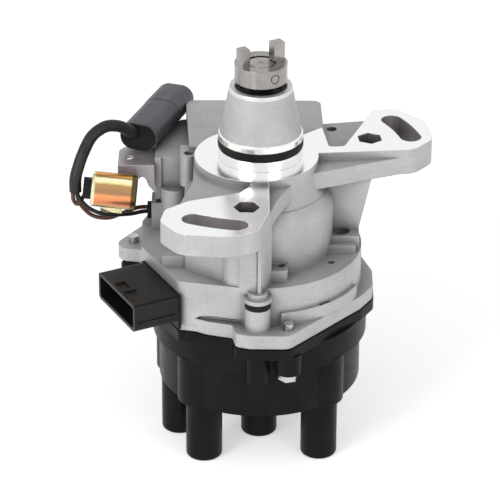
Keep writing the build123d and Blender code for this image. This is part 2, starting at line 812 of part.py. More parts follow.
def dust_cover():
    """Plate between the pickup and the rotor."""
    low = cover_level - cover_thickness
    plate = tube(cover_radius, cover_hole_radius, low, cover_level - seat_gap)
    for angle in post_angles:
        plate -= cylinder(small_screw_radius + seat_gap, low - 1, cover_level + 1,
                          polar(post_circle_radius, angle))
    return plate


def dust_cover_screws():
    """Screws that hold the dust cover on its posts."""
    low = cover_level - cover_thickness
    screws = []
    for angle in post_angles:
        centre = polar(post_circle_radius, angle)
        screw = cylinder(small_screw_radius, low - 0.5, cover_level + 6.0, centre)
        screw += cylinder(small_head_radius, low - seat_gap - small_head_height, low - seat_gap, centre)
        screws.append(screw)
    return screws


def igniter_holes():
    """Places of the igniter's screws across and up."""
    reach = igniter_size[0] / 2 - 4.0
    return ((igniter_centre_x - reach, igniter_centre_z), (igniter_centre_x + reach, igniter_centre_z))


def igniter_module():
    """Potted switching module on the rear wall, with its heat plate."""
    back = chamber_back - seat_gap
    width, depth, height = igniter_size
    left = igniter_centre_x - width / 2
    low = igniter_centre_z - height / 2
    body = block(left, left + width, back - 2.0, back, low, low + height)
    body += block(left + 7.5, left + width - 7.5, back - depth, back - 1.9, low + 2, low + height - 2)
    for x, z in igniter_holes():
        hole = Rot(90, 0, 0) * Cylinder(small_screw_radius + seat_gap, 20.0)
        body -= Pos(x, back, z) * hole
    return body


def igniter_screws():
    """Two screws through the igniter's heat plate."""
    front = chamber_back - seat_gap - 2.0
    screws = []
    for x, z in igniter_holes():
        head = Pos(x, front - small_head_height / 2 - seat_gap, z) * Rot(90, 0, 0)
        screw = head * Cylinder(small_head_radius, small_head_height)
        screw += Pos(x, front + 0.5, z) * Rot(90, 0, 0) * Cylinder(small_screw_radius, 2.6)
        screws.append(screw)
    return screws


# Rotor

def rotor_arm():
    """Moulded rotor with its hub and arm."""
    hub = cylinder(rotor_hub_radius, rotor_face, rotor_top)
    arm = block(0, rotor_arm_radius, -rotor_arm_width / 2, rotor_arm_width / 2, rotor_face, rotor_arm_top)
    tail = block(-13.5, 0, -rotor_arm_width / 2, rotor_arm_width / 2, rotor_face, rotor_arm_top)
    body = hub + Rot(0, 0, rotor_angle) * (arm + tail)
    body -= cylinder(shaft_radius + seat_gap, shaft_bottom - seat_gap, rotor_top + 1)
    return body - rotor_screw_shape(seat_gap)


def rotor_screw_shape(gap):
    """Radial screw through the rotor hub, larger by a gap."""
    level = rotor_top - 4.5
    length = 6.0
    screw = Rot(0, 90, 0) * Cylinder(small_screw_radius + 0.5 + gap, length + 2 * gap)
    middle = shaft_radius + 0.2 + length / 2
    return Rot(0, 0, rotor_angle + 180) * Pos(middle, 0, level) * screw


def rotor_blade():
    """Brass blade on the rotor's face."""
    face = Circle(5.0) + Pos(blade_radius / 2, 0) * Rectangle(blade_radius, blade_width)
    blade = prism(face & Circle(blade_radius), blade_face, rotor_face - seat_gap)
    return Rot(0, 0, rotor_angle) * blade


# Cap and its contacts

def cap():
    """Moulded cap with five towers."""
    flange_face = rim_face(0.5) - Pos(cap_ear_limit - 10.0, 0) * Rectangle(20.0, 160.0)
    body = prism(flange_face + outline(cap_ear_points, 3.5), cap_flange_low, cap_top)
    body += cylinder(cap_skirt_radius, cap_skirt_bottom, cap_flange_low + 0.5)
    body += cylinder(cap_wall_radius, cap_bottom, cap_skirt_bottom + 0.5)
    for centre in buttress_centres:
        body += cylinder(buttress_radius, cap_bottom, cap_skirt_bottom + 0.5, centre)
    body += cylinder(locator_radius, locator_bottom, cap_flange_low + 0.5, locator_centre)
    for centre in cap_screw_centres:
        body += cylinder(cap_screw_boss_radius, cap_screw_boss_bottom, cap_flange_low + 0.5, centre)
    towers = (*tower_centres.values(), (0.0, 0.0))
    for centre in towers:
        body += tower(centre)
    body -= cylinder(cap_inner_radius, cap_inner_floor, cap_top + 1.0)
    for centre in tower_centres.values():
        body += cylinder(terminal_post_radius, cap_inner_floor - 0.5, blade_face - 5.0, centre)
    body += cylinder(brush_radius + 2.6, cap_inner_floor - 0.5, brush_top - 7.5)
    for centre in towers:
        body -= cylinder(socket_radius, tower_bottom - 1.0, socket_top, centre)
    for centre in tower_centres.values():
        body -= cylinder(terminal_radius + seat_gap, socket_top - 1.0, blade_face, centre)
    body -= cylinder(brush_radius + brush_gap, spring_bottom, brush_top)
    body -= cylinder(terminal_radius + seat_gap, socket_top - 1.0, spring_bottom + 1.0)
    for centre in cap_screw_centres:
        body -= cylinder(cap_screw_radius + seat_gap, cap_screw_boss_bottom - 1, cap_top + 1, centre)
        body -= cylinder(washer_radius + joint_gap, cap_skirt_bottom - 1, cap_screw_boss_bottom, centre)
    return body - prism(seal_ring_face(seat_gap), cap_top - 1.1, cap_top + 1.0)


def tower(centre):
    """Round tower with a rolled tip."""
    body = cylinder(tower_radius, tower_bottom, cap_bottom + 0.5, centre)
    tip = body.faces().sort_by(Axis.Z)[0]
    return fillet(tip.edges(), 1.6)


def seal_ring_face(gap):
    """Plan of the seal under the bowl's wall."""
    return bowl_face(0.9 - gap) - bowl_face(2.7 + gap)


def cap_seal():
    """Rubber ring between the rim and the cap."""
    return prism(seal_ring_face(0.0), cap_top - 1.0, rim_bottom - seat_gap)


def tower_terminals():
    """Brass contact of each outer tower."""
    terminals = []
    for x, y in tower_centres.values():
        radius = math.hypot(x, y)
        pin = cylinder(terminal_radius, socket_top, blade_face, (x, y))
        lug = block(contact_radius, radius + 1.5, -3.0, 3.0, blade_face - 3.5, rotor_face + 2.0)
        terminals.append(pin + Rot(0, 0, math.degrees(math.atan2(y, x))) * lug)
    return terminals


def centre_terminal():
    """Contact under the brush spring in the centre tower."""
    return cylinder(terminal_radius, socket_top, spring_bottom)


def carbon_brush():
    """Sprung carbon brush on the centre line."""
    return cylinder(brush_radius, brush_bottom, brush_top)


def brush_spring():
    """Coil spring behind the carbon brush."""
    margin = spring_wire_radius + 0.05
    height = spring_length - 2 * margin
    path = Pos(0, 0, spring_bottom + margin) * Helix(height / spring_turns, height, spring_radius)
    start = Plane(origin=path @ 0, z_dir=path % 0)
    return sweep(start * RegularPolygon(spring_wire_radius, 6), path)


def cap_screws():
    """Hexagon-headed screws with washers that hold the cap to the rim."""
    screws = []
    seat = cap_screw_boss_bottom - seat_gap
    for centre in cap_screw_centres:
        screw = cylinder(cap_screw_radius, seat - 1.0, rim_top + cap_screw_tip, centre)
        screw += cylinder(washer_radius, seat - washer_thickness, seat, centre)
        head_top = seat - washer_thickness
        screw += hexagon(centre, 2 * screw_head_radius, 15.0, head_top - screw_head_height, head_top)
        screws.append(screw)
    return screws


# Bracket, condenser and lead on the left

def condenser_bracket():
    """Bent sheet bracket on the side of the left chamber."""
    face = side_wall - seat_gap
    top = bracket_level
    low = bracket_level - sheet_thickness
    tab = outline(((bracket_left, bracket_front), (face, bracket_front), (face, bracket_back),
                   (bracket_left, bracket_back)), (0.0, 0.0, 0.0, 6.0))
    body = prism(tab, low, top)
    flap = ((bracket_left, top), (face, top), (face, top - 14.8), (-51.8, top - 12.6),
            (-53.4, top - 11.0), (-54.4, top - 7.8), (-55.6, top - 6.3), (-57.0, top - 6.3),
            (-58.3, top - 7.4), (-60.0, top - bracket_drop), (bracket_left, top - bracket_drop))
    body += side_slab(flap, bracket_front, bracket_front + sheet_thickness)
    side_low = top - 14.0
    body += block(face - sheet_thickness, face, 18.5, bracket_back, side_low, top)
    body -= cylinder(bracket_hole_radius, low - 1, top + 1, bracket_hole_centre)
    hole = Rot(0, 90, 0) * Cylinder(small_screw_radius + 0.5 + seat_gap, 10.0)
    return body - Pos(face, 25.0, top - 8.5) * hole


def bracket_screw():
    """Screw that holds the bracket on the chamber wall."""
    face = side_wall - 2 * seat_gap - sheet_thickness
    place = Pos(face, 25.0, bracket_level - 8.5) * Rot(0, 90, 0)
    head = Pos(0, 0, -small_head_height / 2) * Cylinder(small_head_radius + 0.6, small_head_height)
    return place * (head + Pos(0, 0, 0.6) * Cylinder(small_screw_radius + 0.5, sheet_thickness))


def condenser_place():
    """Frame at the condenser's centre with Z along its axis to the right."""
    return Pos(*condenser_centre) * Rot(0, 90 + condenser_tilt, 0)


def condenser_can():
    """Round condenser can with rolled ends."""
    can = Cylinder(condenser_radius, condenser_length + 1.2)
    return condenser_place() * fillet(can.edges(), 1.0)


def condenser_clamp():
    """Plated band round the can with its two ears and the foot on the bracket."""
    inner = condenser_radius + seat_gap
    outer = inner + clamp_thickness
    ring = Circle(outer) - Circle(inner)
    half = condenser_length / 2
    band = Pos(0, 0, -half) * extrude(ring, condenser_length)
    ear = Pos(outer + 1.0, -1.0, -0.5) * Box(3.4, 1.0, condenser_length * 0.5)
    body = condenser_place() * (band + ear)
    x, y, z = condenser_centre
    foot = block(x + 1.8, x + 9.0, y + outer - 1.2, bracket_front - seat_gap, z - 2.0, z + 3.0)
    return body + foot - condenser_place() * Cylinder(inner, 2 * condenser_length)


def condenser_plug():
    """Rubber end of the condenser where its lead comes out."""
    start = -(condenser_length + 1.2) / 2 - seat_gap
    plug = Pos(0, 0, start - plug_length / 2) * Cylinder(plug_radius, plug_length)
    return condenser_place() * plug - rod(*condenser_lead_route[-2:], wire_radius + seat_gap)


def lead_plane():
    """Frame at the lead connector's front, Z back along its axis and Y up."""
    along = Vector(*lead_rear) - Vector(*lead_front)
    return Plane(origin=lead_front, x_dir=(along.Y, -along.X, 0), z_dir=along)


def lead_length():
    """Length of the lead connector over both halves."""
    return (Vector(*lead_rear) - Vector(*lead_front)).length


def lead_shape(start, end, grow):
    """Rounded bar along the lead connector between two lengths, larger by a margin."""
    face = RectangleRounded(lead_width + 2 * grow, lead_height + 2 * grow, lead_corner + grow)
    return Pos(0, 0, start) * extrude(face, end - start)


def lead_room():
    """Room that the housing leaves for the lead connector."""
    grow = lead_step + lead_gap
    return lead_plane().location * lead_shape(-lead_boot_cover, lead_length() + 1.0, grow)


def lead_connector_front():
    """Front half with the mouth that the boot fills and the ribs on top."""
    body = lead_shape(0.0, lead_split * lead_length() - seat_gap, 0.0)
    body -= lead_shape(-1.0, lead_mouth_depth, -lead_wall)
    top = lead_height / 2
    for step in range(3):
        body += Pos(-1.5, top, 5.0 + 2.2 * step) * Box(6.0, 0.5, 0.9)
    body += Pos(4.4, top - 0.1, 14.0) * Box(0.8, 0.7, 12.0)
    body += Pos(0.4, top - 0.1, 19.6) * Box(8.0, 0.7, 0.8)
    return lead_plane().location * body


def lead_connector_rear():
    """Rear half with a rounded end."""
    body = lead_shape(lead_split * lead_length(), lead_length(), lead_step)
    end = body.faces().sort_by(Axis.Z)[-1]
    return lead_plane().location * fillet(end.edges(), 3.0)


def lead_boot():
    """Rubber boot that closes the mouth round the sheath."""
    cover = lead_shape(-lead_boot_cover, -seat_gap, -0.6)
    plug = lead_shape(-lead_boot_cover, lead_mouth_depth - 1.0, -lead_wall - seat_gap)
    body = lead_plane().location * (cover + plug)
    return body - round_cable(sheath_route, sheath_radius + seat_gap)


def wire_grommet():
    """Rubber grommet where the wires enter the housing."""
    x, y, z = grommet_centre
    disc = Rot(0, 90, 0) * Cylinder(grommet_radius, grommet_length / 2)
    neck = Rot(0, 90, 0) * Cylinder(grommet_radius - 1.0 - seat_gap, grommet_length)
    flat = Pos(-grommet_length / 4 + 0.15, 0, 0) * disc
    body = Pos(x, y, z) * (flat + Pos(grommet_length / 2, 0, 0) * neck)
    for route in (brown_wire_route, black_wire_route):
        body -= rod(*route[-2:], wire_radius + seat_gap)
    return body


def lead_sheath():
    """Sheath over the three wires, hollow at its lower end."""
    low = sheath_route[-1]
    high = (low[0], low[1], low[2] + sheath_pocket_depth)
    return round_cable(sheath_route, sheath_radius) - rod(high, low, sheath_pocket_radius)


sheath_route = (
    (-57.6, 32.6, -3.6), (-61.2, 24.2, -0.8), (-66.4, 21.4, 4.2), (-73.4, 17.6, 6.4), (-80.2, 13.2, 3.2),
    (-84.8, 8.0, -5.0), (-87.9, 3.0, -14.4), (-87.9, 3.0, -21.4),
)
condenser_lead_route = (
    (-89.15, 3.0, -19.6), (-89.15, 3.0, -26.2), (-87.0, 2.9, -29.0), (-82.6, 3.0, -21.6),
)
brown_wire_route = (
    (-87.28, 4.08, -19.6), (-87.28, 4.3, -24.6), (-85.8, 6.2, -30.6), (-80.6, 6.2, -36.4),
    (-72.6, 6.0, -37.6), (-65.2, 10.6, -36.4), (-59.4, 17.4, -37.2), (-56.4, 19.4, -37.8),
    (-51.0, 19.4, -37.8),
)
black_wire_route = (
    (-87.28, 1.92, -19.6), (-86.6, 1.5, -23.8), (-82.0, -0.6, -28.6), (-75.0, -0.4, -32.1),
    (-67.4, 2.9, -33.8), (-61.0, 8.8, -36.2), (-57.0, 15.4, -38.3), (-51.0, 16.4, -38.3),
)

pieces = {
    "housing": housing,
    "boss_ring": boss_ring,
    "spigot_o_ring": spigot_o_ring,
    "oil_seal": oil_seal,
    "upper_bush": lambda: tube(bush_radius - seat_gap, shaft_radius + running_gap,
                               bush_top - bush_length, bush_top),
    "bearing_outer_race": lambda: bearing_race(False),
    "bearing_inner_race": lambda: bearing_race(True),
    "bearing_balls": bearing_balls,
    "bearing_cage": bearing_cage,
    "bearing_circlip": bearing_circlip,
    "shaft": shaft,
    "drive_coupling": drive_coupling,
    "cross_pin": cross_pin,
    "slit_disc": slit_disc,
    "disc_hub": disc_hub,
    "optical_pickup": optical_pickup,
    "pickup_screws": pickup_screws,
    "igniter_module": igniter_module,
    "igniter_screws": igniter_screws,
    "dust_cover": dust_cover,
    "dust_cover_screws": dust_cover_screws,
    "rotor_arm": rotor_arm,
    "rotor_blade": rotor_blade,
    "rotor_screw": lambda: rotor_screw_shape(0.0),
    "cap": cap,
    "cap_seal": cap_seal,
    "tower_terminals": tower_terminals,
    "centre_terminal": centre_terminal,
    "carbon_brush": carbon_brush,
    "brush_spring": brush_spring,
    "cap_screws": cap_screws,
    "connector_shell": connector_shell,
    "connector_pins": pin_solids,
    "connector_seal": connector_seal,
    "condenser_bracket": condenser_bracket,
    "bracket_screw": bracket_screw,
    "condenser_can": condenser_can,
    "condenser_clamp": condenser_clamp,
    "condenser_plug": condenser_plug,
    "lead_connector_front": lead_connector_front,
    "lead_connector_rear": lead_connector_rear,
    "lead_boot": lead_boot,
    "wire_grommet": wire_grommet,
    "lead_sheath": lead_sheath,
    "condenser_lead": lambda: round_cable(condenser_lead_route, wire_radius),
    "brown_wire": lambda: round_cable(brown_wire_route, wire_radius),
    "black_wire": lambda: round_cable(black_wire_route, wire_radius),
}

os.makedirs("parts", exist_ok=True)
for name, make in pieces.items():
    shape = make()
    if isinstance(shape, list):
        shape = Compound(children=[Solid(item.solids()[0].wrapped) for item in shape])
    export_step(shape, f"parts/{name}.step")
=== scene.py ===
"""Looks, light and camera for the ignition distributor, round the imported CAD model."""

import json
import logging
import math
from dataclasses import dataclass
from enum import Enum

import bpy
from mathutils import Matrix, Vector

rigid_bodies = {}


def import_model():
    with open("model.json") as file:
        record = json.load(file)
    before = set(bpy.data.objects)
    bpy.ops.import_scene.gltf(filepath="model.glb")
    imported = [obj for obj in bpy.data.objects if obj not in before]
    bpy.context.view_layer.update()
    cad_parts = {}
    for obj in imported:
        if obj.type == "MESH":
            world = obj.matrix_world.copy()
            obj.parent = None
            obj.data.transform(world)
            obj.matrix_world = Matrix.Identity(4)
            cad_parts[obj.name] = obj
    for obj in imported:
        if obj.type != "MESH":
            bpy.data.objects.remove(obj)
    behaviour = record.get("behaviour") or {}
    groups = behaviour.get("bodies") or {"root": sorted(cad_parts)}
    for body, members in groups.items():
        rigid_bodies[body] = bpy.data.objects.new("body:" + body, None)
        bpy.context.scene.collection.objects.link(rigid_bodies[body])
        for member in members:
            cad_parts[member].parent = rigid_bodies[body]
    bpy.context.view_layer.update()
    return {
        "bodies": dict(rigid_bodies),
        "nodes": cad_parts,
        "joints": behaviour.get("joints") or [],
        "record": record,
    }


LOG = logging.getLogger("distributor")

Colour = tuple[float, float, float]

MILLIMETRE = 0.001
FLOOR_LEVEL = -0.1507

# The photograph's camera, fitted in the row frame, in metres
CAMERA_PLACE = (-0.004739, -1.258121, 0.605098)
CAMERA_PITCH = 27.542
CAMERA_ROLL = 0.262
CAMERA_LENS = 213.13
SENSOR_WIDTH = 36.0
CAMERA_CLIP = (0.05, 20.0)

# Studio light: strengths of the world by direction, the floor, and lamps with place, size and watts
AROUND_LIGHT = 0.4
FRONT_LIGHT = 0.6
ABOVE_DIM = 0.2
FRONT_RANGE = (0.4, -0.4)
ABOVE_RANGE = (0.55, 0.95)
FLOOR_REACH = 6.0
FLOOR_TONE = 0.9
FLOOR_LIFT = 0.45
LAMP_AIM = (0.0, 0.0, -0.05)
LAMPS = (
    ("key", (-0.9, -1.1, 0.7), 0.6, 0.6, 9.0),
    ("fill", (0.9, -1.1, 0.55), 0.6, 0.6, 2.5),
)


class Grain(Enum):
    """Kinds of fine surface relief."""

    CAST = "cast"
    MOULDED = "moulded"
    TURNED = "turned"
    RUBBER = "rubber"
    STAMPED = "stamped"


@dataclass(frozen=True)
class Finish:
    """Look of one material slot.

    Args:
        colour: main colour, linear.
        second: colour that the mottling mixes in.
        metallic: 1 for bare metal.
        roughness: mean roughness.
        spread: how far the roughness swings round its mean.
        grain: kind of relief.
        relief: height of the relief, in millimetres.
        edge: radius of the rounded edges, in millimetres.
        coat: clear coat weight.
        shine: specular level of a non-metal.
    """

    colour: Colour
    second: Colour
    metallic: float
    roughness: float
    spread: float
    grain: Grain
    relief: float
    edge: float
    coat: float = 0.0
    shine: float = 0.5


FINISHES: dict[str, Finish] = {
    "black_rubber": Finish((0.006, 0.006, 0.006), (0.012, 0.012, 0.012), 0.0, 0.5, 0.12,
                           Grain.RUBBER, 0.03, 0.3, 0.0, 0.14),
    "sheath_rubber": Finish((0.009, 0.009, 0.0095), (0.02, 0.02, 0.021), 0.0, 0.45, 0.1,
                            Grain.RUBBER, 0.02, 0.2, 0.0, 0.3),
    "bronze": Finish((0.5, 0.33, 0.16), (0.38, 0.24, 0.12), 1.0, 0.45, 0.1, Grain.CAST, 0.02, 0.2),
    "bearing_steel": Finish((0.62, 0.62, 0.63), (0.5, 0.5, 0.51), 1.0, 0.15, 0.05,
                            Grain.TURNED, 0.004, 0.2),
    "cage_plastic": Finish((0.55, 0.48, 0.33), (0.45, 0.4, 0.27), 0.0, 0.5, 0.1,
                           Grain.MOULDED, 0.01, 0.2),
    "spring_steel": Finish((0.4, 0.4, 0.41), (0.3, 0.3, 0.31), 1.0, 0.3, 0.1,
                           Grain.STAMPED, 0.01, 0.1),
    "turned_steel": Finish((0.37, 0.355, 0.34), (0.26, 0.25, 0.236), 1.0, 0.24, 0.08,
                           Grain.TURNED, 0.01, 0.35),
    "plated_steel": Finish((0.55, 0.55, 0.56), (0.42, 0.42, 0.43), 1.0, 0.22, 0.08,
                           Grain.STAMPED, 0.008, 0.25),
    "black_plastic": Finish((0.005, 0.0048, 0.0048), (0.008, 0.0078, 0.0078), 0.0, 0.36, 0.08,
                            Grain.MOULDED, 0.02, 0.35, 0.0, 0.24),
    "rotor_plastic": Finish((0.11, 0.035, 0.018), (0.07, 0.022, 0.012), 0.0, 0.4, 0.08,
                            Grain.MOULDED, 0.02, 0.4),
    "contact_brass": Finish((0.72, 0.5, 0.2), (0.55, 0.36, 0.14), 1.0, 0.28, 0.1,
                            Grain.STAMPED, 0.01, 0.2),
    "cap_plastic": Finish((0.0055, 0.005, 0.005), (0.009, 0.0082, 0.0082), 0.0, 0.34, 0.07,
                          Grain.MOULDED, 0.02, 0.6, 0.0, 0.09),
    "carbon": Finish((0.02, 0.02, 0.021), (0.035, 0.035, 0.036), 0.0, 0.6, 0.1,
                     Grain.CAST, 0.02, 0.2),
    "dark_sheet": Finish((0.54, 0.5, 0.51), (0.4, 0.375, 0.38), 0.7, 0.42, 0.1,
                         Grain.STAMPED, 0.02, 0.45),
    "grey_plastic": Finish((0.066, 0.064, 0.078), (0.088, 0.085, 0.102), 0.0, 0.4, 0.08,
                           Grain.MOULDED, 0.02, 0.6, 0.0, 0.3),
    "brown_wire": Finish((0.07, 0.022, 0.01), (0.1, 0.034, 0.016), 0.0, 0.42, 0.08,
                         Grain.RUBBER, 0.01, 0.0),
    "black_wire": Finish((0.006, 0.006, 0.006), (0.014, 0.014, 0.014), 0.0, 0.4, 0.08,
                         Grain.RUBBER, 0.01, 0.0, 0.0, 0.3),
}


class NodeTree:
    """Node tree with short calls that add and join nodes.

    Args:
        tree: the tree to build in.
    """

    def __init__(self, tree: bpy.types.NodeTree) -> None:
        self.tree = tree

    def node(self, kind: str, **values: object) -> bpy.types.Node:
        """Adds a node and sets its attributes.

        Args:
            kind: node type without the ShaderNode prefix.
            values: attributes to set.

        Returns:
            The new node.
        """
        made = self.tree.nodes.new("ShaderNode" + kind)
        for key, value in values.items():
            setattr(made, key, value)
        return made

    def link(self, source: bpy.types.NodeSocket, target: bpy.types.NodeSocket) -> None:
        """Joins an output to an input."""
        self.tree.links.new(source, target)

    def math(self, operation: str, first: object, second: object = None,
             third: object = None) -> bpy.types.NodeSocket:
        """Math node on sockets or numbers.

        Returns:
            Its output socket.
        """
        made = self.node("Math", operation=operation)
        for index, value in enumerate((first, second, third)):
            if value is None:
                continue
            if isinstance(value, (int, float)):
                made.inputs[index].default_value = value
            else:
                self.link(value, made.inputs[index])
        return made.outputs[0]

    def ramp(self, value: object, low: float, high: float, start: float = 0.0,
             end: float = 1.0) -> bpy.types.NodeSocket:
        """Clamped linear map from low..high to start..end.

        Returns:
            Its output socket.
        """
        made = self.node("MapRange")
        self.link(value, made.inputs["Value"])
        for name, number in (("From Min", low), ("From Max", high), ("To Min", start),
                             ("To Max", end)):
            made.inputs[name].default_value = number
        return made.outputs[0]

    def axes(self, coordinates: str = "Object") -> tuple[bpy.types.NodeSocket, ...]:
        """Coordinates as three sockets.

        Args:
            coordinates: output of the coordinate node.

        Returns:
            X, Y and Z.
        """
        made = self.node("SeparateXYZ")
        self.link(self.node("TexCoord").outputs[coordinates], made.inputs[0])
        return tuple(made.outputs)


class Shader(NodeTree):
    """Builder of one material on object coordinates.

    Args:
        name: material name.
    """

    def __init__(self, name: str) -> None:
        self.material = bpy.data.materials.new(name)
        self.material.use_nodes = True
        super().__init__(self.material.node_tree)
        self.bsdf = self.tree.nodes["Principled BSDF"]

    def noise(self, scale: float, detail: float = 3.0, stretch: Colour = (1, 1, 1),
              roughness: float = 0.5) -> bpy.types.NodeSocket:
        """Noise on object coordinates.

        Args:
            scale: cells per metre.
            detail: octaves.
            stretch: scale along each axis.
            roughness: weight of the fine octaves.

        Returns:
            The noise factor.
        """
        mapping = self.node("Mapping")
        mapping.inputs["Scale"].default_value = stretch
        self.link(self.node("TexCoord").outputs["Object"], mapping.inputs["Vector"])
        made = self.node("TexNoise")
        made.inputs["Scale"].default_value = scale
        made.inputs["Detail"].default_value = detail
        made.inputs["Roughness"].default_value = roughness
        self.link(mapping.outputs[0], made.inputs["Vector"])
        return made.outputs["Fac"]

    def mix(self, factor: object, first: object, second: object) -> bpy.types.NodeSocket:
        """Colour mix of two colours or sockets.

        Returns:
            The mixed colour.
        """
        made = self.node("Mix", data_type="RGBA")
        for socket, value in ((made.inputs[0], factor), (made.inputs[6], first),
                              (made.inputs[7], second)):
            if isinstance(value, bpy.types.NodeSocket):
                self.link(value, socket)
            elif isinstance(value, tuple):
                socket.default_value = (*value, 1.0)
            else:
                socket.default_value = value
        return made.outputs[2]

    def relief(self, height: bpy.types.NodeSocket, distance: float, edge: float,
               strength: float = 1.0) -> None:
        """Bump over rounded edges into the shader's normal.

        Args:
            height: relief from 0 to 1.
            distance: depth of the relief, in millimetres.
            edge: radius of the rounded edges, in millimetres.
            strength: strength of the bump.
        """
        bump = self.node("Bump")
        bump.inputs["Strength"].default_value = strength
        bump.inputs["Distance"].default_value = distance * MILLIMETRE
        self.link(height, bump.inputs["Height"])
        if edge > 0.0:
            bevel = self.node("Bevel", samples=6)
            bevel.inputs["Radius"].default_value = edge * MILLIMETRE
            self.link(bevel.outputs[0], bump.inputs["Normal"])
        self.link(bump.outputs[0], self.bsdf.inputs["Normal"])


def grain_height(shader: Shader, grain: Grain) -> bpy.types.NodeSocket:
    """Relief pattern of a kind of surface.

    Args:
        shader: material under construction.
        grain: kind of relief.

    Returns:
        Height from 0 to 1.
    """
    if grain is Grain.CAST:
        coarse = shader.noise(900.0, 4.0, roughness=0.65)
        fine = shader.noise(3200.0, 2.0)
        return shader.math("ADD", shader.math("MULTIPLY", coarse, 0.65),
                           shader.math("MULTIPLY", fine, 0.35))
    if grain is Grain.TURNED:
        return shader.noise(160.0, 3.0, stretch=(1.0, 1.0, 30.0))
    if grain is Grain.STAMPED:
        return shader.noise(700.0, 3.0, stretch=(1.0, 0.15, 1.0))
    if grain is Grain.RUBBER:
        return shader.noise(1400.0, 3.0)
    return shader.noise(2600.0, 2.0, roughness=0.6)


def plain_material(name: str, finish: Finish) -> bpy.types.Material:
    """Material of a finish with mottling, uneven roughness and fine relief.

    Args:
        name: material name.
        finish: its look.

    Returns:
        The node material.
    """
    shader = Shader(name)
    bsdf = shader.bsdf
    bsdf.inputs["Metallic"].default_value = finish.metallic
    bsdf.inputs["Specular IOR Level"].default_value = finish.shine
    bsdf.inputs["Coat Weight"].default_value = finish.coat
    bsdf.inputs["Coat Roughness"].default_value = 0.25
    blotch = shader.ramp(shader.noise(90.0, 4.0), 0.35, 0.65)
    shader.link(shader.mix(blotch, finish.colour, finish.second), bsdf.inputs["Base Color"])
    smudge = shader.noise(260.0, 5.0, roughness=0.6)
    low = finish.roughness - finish.spread
    high = finish.roughness + finish.spread
    shader.link(shader.ramp(smudge, 0.3, 0.7, low, high), bsdf.inputs["Roughness"])
    shader.relief(grain_height(shader, finish.grain), finish.relief, finish.edge)
    return shader.material


